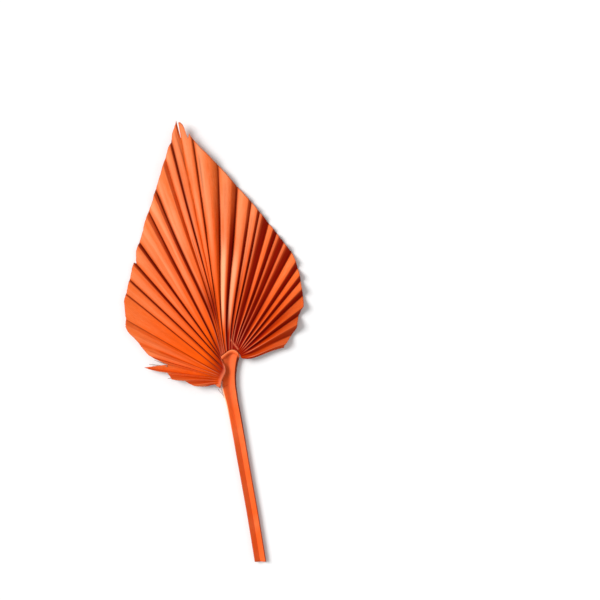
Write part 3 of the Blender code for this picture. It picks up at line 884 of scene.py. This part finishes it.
def fibre_ribbon(number, start, end, width):
    """A ribbon along the line from start to end that sags as s (1 - s), bends aside as half a sine
    and narrows towards its end."""
    s = np.linspace(0.0, 1.0, FIBRE_ROWS)[:, None]
    middle = start + s * (end - start) - np.array([0.0, 0.0, 4.0 * FIBRE_SAG]) * s * (1.0 - s)
    aside = np.array([start[1] - end[1], end[0] - start[0], 0.0])
    aside = aside / np.linalg.norm(aside)
    middle = middle + FIBRE_BEND * np.sin(math.pi * s + number) * aside
    half = 0.5 * width * (1.0 - FIBRE_TAPER * s) * aside
    top = np.stack([middle - half, middle, middle + half], axis=1)
    top[:, 1, 2] += FIBRE_CROWN
    bottom = top - np.array([0.0, 0.0, FIBRE_THICK])
    across = np.broadcast_to(np.arange(3.0) + number, top.shape[:2])
    fibre_map = np.stack([across, np.broadcast_to(s, top.shape[:2])], axis=-1)
    return sheet_piece("loose_fibre_" + str(number), top, bottom, fibre_map, {}, [fibre_look])


for number, row in enumerate(FIBRES):
    fibre = fibre_ribbon(number, row[:3], row[3:6], row[6])
    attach(fibre, "root")

# %% [markdown]
# ## The stalk
#
# The stalk is channelled along its upper side and opens into a spoon at the hub, with a raised lip
# across its end, and a thin tongue runs on under the blade. It could be a curve with a bevel, but
# its section changes all the way, so each station has its own width, edge height and channel depth,
# and a smooth curve runs through them.

# %% Stalk stations, in millimetres: y, centre x, half width, edge height, channel depth, underside
STALK = np.array([
    (-184.2, -6.0, 5.1, 4.9, 2.1, 0.0), (-160.0, -5.4, 5.1, 4.9, 2.1, 0.1),
    (-136.5, -4.9, 5.1, 4.9, 2.1, 0.2), (-112.0, -4.7, 5.1, 5.0, 2.1, 0.3),
    (-90.7, -4.5, 5.2, 5.0, 2.1, 0.4), (-70.0, -4.2, 5.3, 5.1, 2.1, 0.5),
    (-53.8, -4.1, 5.4, 5.2, 2.0, 0.6), (-40.0, -4.3, 5.6, 5.4, 1.8, 0.6),
    (-26.7, -4.5, 6.3, 5.6, 1.6, 0.6), (-17.0, -3.6, 6.3, 5.7, 1.5, 0.6),
    (-8.0, -2.1, 6.5, 5.8, 1.3, 0.6), (-1.0, -0.4, 6.9, 5.9, 1.1, 0.6),
    (4.2, 1.1, 7.6, 6.2, 0.9, 0.6), (6.2, 1.7, 8.1, 8.9, 0.7, 0.7),
    (7.7, 1.8, 8.2, 9.2, 0.6, 0.7), (8.3, 1.8, 8.2, 9.0, 0.5, 0.7), (8.6, 1.8, 8.2, 6.1, 0.3, 0.8),
    (16.0, 2.4, 5.6, 5.4, 0.0, 0.9), (26.0, 1.8, 3.6, 4.6, 0.0, 1.3),
    (35.0, 1.4, 1.6, 3.8, 0.0, 2.2),
])
STALK_STEPS = 12


def through_stations(table, steps):
    """A cubic through the stations: each span mixes its two ends and their slopes. A slope is the
    harmonic mean of the rates on both sides, or 0 at a turn, so nothing overshoots."""
    gap = np.diff(table[:, 0])[:, None]
    rate = np.diff(table, axis=0) / gap
    product = rate[1:] * rate[:-1]
    inner = np.where(product > 0.0, 2.0 * product / (rate[1:] + rate[:-1] + 1e-12), 0.0)
    slope = np.concatenate([rate[:1], inner, rate[-1:]])
    t = np.linspace(0.0, 1.0, steps, endpoint=False)[None, :, None]
    start, end = table[:-1, None], table[1:, None]
    leaving, arriving = slope[:-1, None] * gap[:, None], slope[1:, None] * gap[:, None]
    blend = (2 * t**3 - 3 * t**2 + 1) * start + (3 * t**2 - 2 * t**3) * end
    blend = blend + (t**3 - 2 * t**2 + t) * leaving + (t**3 - t**2) * arriving
    return np.concatenate([blend.reshape(-1, table.shape[1]), table[-1:]])


stalk_rows = through_stations(STALK, STALK_STEPS)
print("the stalk has", len(stalk_rows), "rows over", np.ptp(STALK[:, 0]).round(1), "mm")

# %% Stalk surfaces
STALK_ACROSS = 49
EDGE_DROP, SHOULDER, SHOULDER_POWER = 1.3, 0.86, 1.5
UNDERSIDE_EDGE, FULL_HEIGHT, LEAST_SHARE, LEAST_SIDE, ROUNDNESS = 2.6, 6.0, 0.35, 0.3, 0.98
LIP_BOW = (-0.62, -2.94, -3.73, 2.44, -0.05)
BOW_FROM_Y, BOW_LENGTH = -34.0, 38.0
SOFT_CHANNEL_FROM_Y, SOFT_CHANNEL_LENGTH = -75.0, 55.0
CUT_SLANT, CUT_SLANT_END_Y = 0.186, -120.0


def stalk_surfaces(rows):
    """Upper and lower surface. Above, a V channel between two rounded shoulders, which softens
    towards the hub. Below, half an ellipse. Rows bow by a fourth-power curve round the lip at the
    hub, and slant at the cut end."""
    u = np.sin(np.linspace(-0.5, 0.5, STALK_ACROSS) * math.pi)[None]
    y, centre, half, edge, depth, under = (rows[:, k:k + 1] for k in range(6))
    bow = eased(y, BOW_FROM_Y, BOW_LENGTH)
    slant = (CUT_SLANT_END_Y - y) / (CUT_SLANT_END_Y - STALK[0, 0])
    slant = CUT_SLANT * np.clip(slant, 0.0, 1.0)
    across = half * u
    y_bowed = y + bow * np.polyval(LIP_BOW, u) - slant * across
    x = centre + across
    shoulder = EDGE_DROP * eased(np.abs(u), SHOULDER, 1.0 - SHOULDER) ** SHOULDER_POWER
    notch = np.clip(1.0 - np.abs(u) / SHOULDER, 0.0, 1.0)
    soft = eased(y, SOFT_CHANNEL_FROM_Y, SOFT_CHANNEL_LENGTH)
    top = edge - depth * (notch + (smooth(notch) - notch) * soft) - shoulder
    side_drop = UNDERSIDE_EDGE * np.clip((edge - under) / FULL_HEIGHT, LEAST_SHARE, 1.0)
    side = np.maximum(edge - EDGE_DROP - side_drop - under, LEAST_SIDE)
    lower = under + side * (1.0 - np.sqrt(1.0 - ROUNDNESS * u**2))
    return np.stack([x, y_bowed, top], axis=-1), np.stack([x, y_bowed, lower], axis=-1)


stalk_top, stalk_bottom = stalk_surfaces(stalk_rows)
print("stalk:", stalk_top.shape[:2], "points on each side")

# %% [markdown]
# ## The dyed stalk and its cut end
#
# The stalk took the dye more evenly than the blade and has a slight polish, with long fibres and a
# few darker scuffs. Its sides have the same finish with fainter edges, and its cut end shows pale
# pith dotted with fibre ends. Its darker and lighter places are values on the points too, because
# they follow the channel and its edges: painted shade in the spoon's hollow, on the channel's left
# facet, across a small crease and along the right edge, a darker left edge lower down, and painted
# highlights on the lip's crest and the left edge.

# %% Stalk finish
STALK_BODY = colour(244, 92, 26)
STALK_DARK = colour(172, 54, 12)
STALK_LIGHT = colour(248, 142, 92)
STALK_EDGE = colour(88, 12, 2)
STALK_CREAM_HIGHLIGHT = colour(250, 208, 164)
SIDE_EDGE_SHARE = 0.3


def stalk_finish(name, edge_share):
    """Even orange with long fibres, then dark, light, edge and cream, each by its own value, with
    edge and cream as strong as the share says. Dark is painted shade, light and cream are painted
    highlights, and edge is painted shade along the right edge and a darker left edge lower down."""
    look, tree, shader = graph(name)
    fibres, place = coordinates(tree)
    blotch = noise(tree, place, 40.0, 3.0)
    streak = fibre_noise(tree, fibres, 30.0, 5.0, 3.0, 0.6)
    fine = fibre_noise(tree, fibres, 90.0, 12.0, 2.0, 0.6)
    body = mixed(tree, ranged(tree, blotch, 0.35, 0.7, 0.0, 0.25), STALK_BODY, STALK_LIGHT)
    body = mixed(tree, ranged(tree, streak, 0.3, 0.55, 0.25, 0.0), body, STALK_DARK)
    body = mixed(tree, ranged(tree, streak, 0.55, 0.75, 0.0, 0.25), body, STALK_LIGHT)
    # dark: painted shade; light and cream: painted highlights; edge: painted shade on the right
    # edge, darker left edge lower down
    body = mixed(tree, attribute(tree, "dark"), body, STALK_DARK)
    body = mixed(tree, attribute(tree, "painted_highlight"), body, STALK_LIGHT)
    body = mixed(tree, times(tree, attribute(tree, "edge"), edge_share), body, STALK_EDGE)
    body = mixed(tree, times(tree, attribute(tree, "painted_cream_highlight"), edge_share), body, STALK_CREAM_HIGHLIGHT)
    fibrous(tree, shader, body, fine, streak, (0.42, 0.6), 0.12, 0.3)
    return look


stalk_look = stalk_finish("dyed_stalk", 1.0)
stalk_side_look = stalk_finish("dyed_stalk_side", SIDE_EDGE_SHARE)
stalk_cut_look = cut_finish("stalk_cut_end", colour(226, 150, 92), colour(120, 52, 24))
print("the stalk's finish has", len(stalk_look.node_tree.nodes), "nodes")

# %% Painted shade and highlights of the stalk, and its darker edges
HUB_FROM_Y, HUB_LENGTH = -60.0, 50.0
LIP_FROM_Y, LIP_LENGTH, CREST_FROM_Y, CREST_LENGTH = 4.0, 2.5, 6.6, 1.0
LOW_FROM_Y, LOW_LENGTH = -50.0, 40.0
HOLLOW_AT, HOLLOW_WIDTH = -0.2, 0.45
CROSS_CREASE_Y, CROSS_CREASE_WIDTH, CROSS_CREASE_SLANT = -21.5, 0.6, 1.2
CREAM_Y, CREAM_LENGTH = -36.0, 13.0


def stalk_values(y, u):
    """Dark, light, edge and cream for the place y along the stalk and u across it, from -1 at the
    left to 1 at the right: bells for the hollow, the small crease across the stalk and the cream,
    and eased bands for the channel's left facet, the edges and the lip's crest. Dark is painted
    shade in the hollow, across the crease and on the left facet, turned away from the key light.
    Light and cream are painted highlights on the crest and the left edge. Edge is painted shade on
    the right edge and a darker left edge lower down."""
    low = smooth((LOW_FROM_Y - y) / LOW_LENGTH)
    lip = eased(y, LIP_FROM_Y, LIP_LENGTH)
    # painted shade in the spoon's hollow
    hollow = bell(u, HOLLOW_AT, HOLLOW_WIDTH) * eased(y, HUB_FROM_Y, HUB_LENGTH)
    hollow = hollow * (1.0 - 0.6 * lip)
    # painted shade of a small crease across the stalk
    cross_crease = bell(y - CROSS_CREASE_SLANT * u, CROSS_CREASE_Y, CROSS_CREASE_WIDTH) * smooth((0.1 - u) / 0.3)
    # painted shade on the channel's left facet, turned away from the key light
    facet = smooth((0.03 - u) / 0.08) * low
    left_light = eased(-u, 0.9, 0.08) * (1.0 - low)
    left_edge = eased(-u, 0.88, 0.06) * low
    right_edge = eased(u, 0.78, 0.12) * (1.0 - lip) * (1.0 - 0.4 * low)
    painted_cream_highlight = eased(-u, 0.82, 0.08) * bell(y, CREAM_Y, CREAM_LENGTH)
    return {
        "dark": np.maximum(np.maximum(0.5 * hollow, 0.75 * cross_crease), 0.35 * facet),
        "painted_highlight": np.maximum(0.5 * eased(y, CREST_FROM_Y, CREST_LENGTH), 0.6 * left_light),
        "edge": np.maximum(0.9 * right_edge, 0.6 * left_edge),
        "painted_cream_highlight": 0.85 * painted_cream_highlight,
    }


across_share = np.linspace(-1.0, 1.0, STALK_ACROSS)[None]
stalk_shade_and_highlights = stalk_values(stalk_rows[:, :1], np.sin(across_share * math.pi / 2.0))
print({name: round(float(grid.max()), 2) for name, grid in stalk_shade_and_highlights.items()})

# %% Stalk piece
along_share = np.broadcast_to(0.05 * stalk_rows[:, :1], stalk_top.shape[:2])
stalk_fibres = np.stack([np.broadcast_to(across_share, along_share.shape), along_share], axis=-1)
stalk = sheet_piece(
    "channelled_stalk",
    stalk_top,
    stalk_bottom,
    stalk_fibres,
    stalk_shade_and_highlights,
    [stalk_look, stalk_side_look, stalk_cut_look],
)
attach(stalk, "root")
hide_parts("petiole")

# %% [markdown]
# ## Floor and camera
#
# The leaf lies down, so the camera looks straight down on it, turned so that the leaf leans as in
# the reference, and far enough away that nothing is stretched. The floor is one large pale quad,
# because a leaf that lies down needs only a surface to lie on.

# %% Floor
FLOOR_SIZE = 6.0
half = FLOOR_SIZE / 2.0
corners = [(-half, -half, 0.0), (half, -half, 0.0), (half, half, 0.0), (-half, half, 0.0)]
floor_mesh = bpy.data.meshes.new("floor")
floor_mesh.from_pydata(corners, [], [(0, 1, 2, 3)])
floor = placed("floor", floor_mesh)
floor_look, _, floor_shader = graph("pale_floor")
floor_shader.inputs["Base Color"].default_value = (0.86, 0.86, 0.86, 1.0)
floor_shader.inputs["Roughness"].default_value = 0.9
floor_mesh.materials.append(floor_look)
print("floor", FLOOR_SIZE, "m wide")

# %% Camera
PIXELS = 600
SCALE_MM = 0.9
LEAN = math.radians(10.676)
FAN_CENTRE_PIXEL = (229.0, 360.0)
LENS, SENSOR = 100.0, 36.0
picture_right = Vector((math.cos(LEAN), -math.sin(LEAN), 0.0))
picture_up = Vector((math.sin(LEAN), math.cos(LEAN), 0.0))
right_mm = (PIXELS / 2 - FAN_CENTRE_PIXEL[0]) * SCALE_MM
up_mm = (FAN_CENTRE_PIXEL[1] - PIXELS / 2) * SCALE_MM
target = Vector((fan_origin[0], fan_origin[1], BEND_HUB_Z))
target = target + picture_right * right_mm + picture_up * up_mm
camera_height = PIXELS * SCALE_MM * LENS / SENSOR
camera_data = bpy.data.cameras.new("camera")
camera_data.lens = LENS
camera_data.sensor_width = SENSOR
camera = placed("camera", camera_data)
facing = Matrix((picture_right, picture_up, Vector((0.0, 0.0, 1.0)))).transposed().to_4x4()
viewpoint = (target + Vector((0.0, 0.0, camera_height))) * MM
camera.matrix_world = Matrix.Translation(viewpoint) @ facing
bpy.context.scene.camera = camera
print("camera", round(camera_height), "mm above the fan")

# %% [markdown]
# ## Light
#
# One broad sun comes low from the left of the picture, which, with the shade and highlights painted
# into the colours, draws a bright face and a dark face on every pleat. A pale sky fills the rest, so
# no fold goes black.

# %% Light
KEY_ELEVATION, KEY_TURN = math.radians(46.0), math.radians(22.0)
KEY_STRENGTH, KEY_SOFTNESS = 2.9, math.radians(30.0)
FILL_STRENGTH = 0.56
key_data = bpy.data.lights.new("key", "SUN")
key_data.energy = KEY_STRENGTH
key_data.angle = KEY_SOFTNESS
key = placed("key", key_data)
from_side = -picture_right * math.cos(KEY_TURN) + picture_up * math.sin(KEY_TURN)
toward_key = from_side * math.cos(KEY_ELEVATION) + Vector((0.0, 0.0, math.sin(KEY_ELEVATION)))
key.rotation_mode = "QUATERNION"
key.rotation_quaternion = toward_key.to_track_quat("Z", "Y")
world = bpy.data.worlds.new("studio")
world.use_nodes = True
background = world.node_tree.nodes["Background"]
background.inputs["Color"].default_value = (1.0, 1.0, 1.0, 1.0)
background.inputs["Strength"].default_value = FILL_STRENGTH
bpy.context.scene.world = world
bpy.context.scene.view_settings.view_transform = "Standard"
print("key light", round(math.degrees(KEY_ELEVATION)), "degrees up, strength", KEY_STRENGTH)
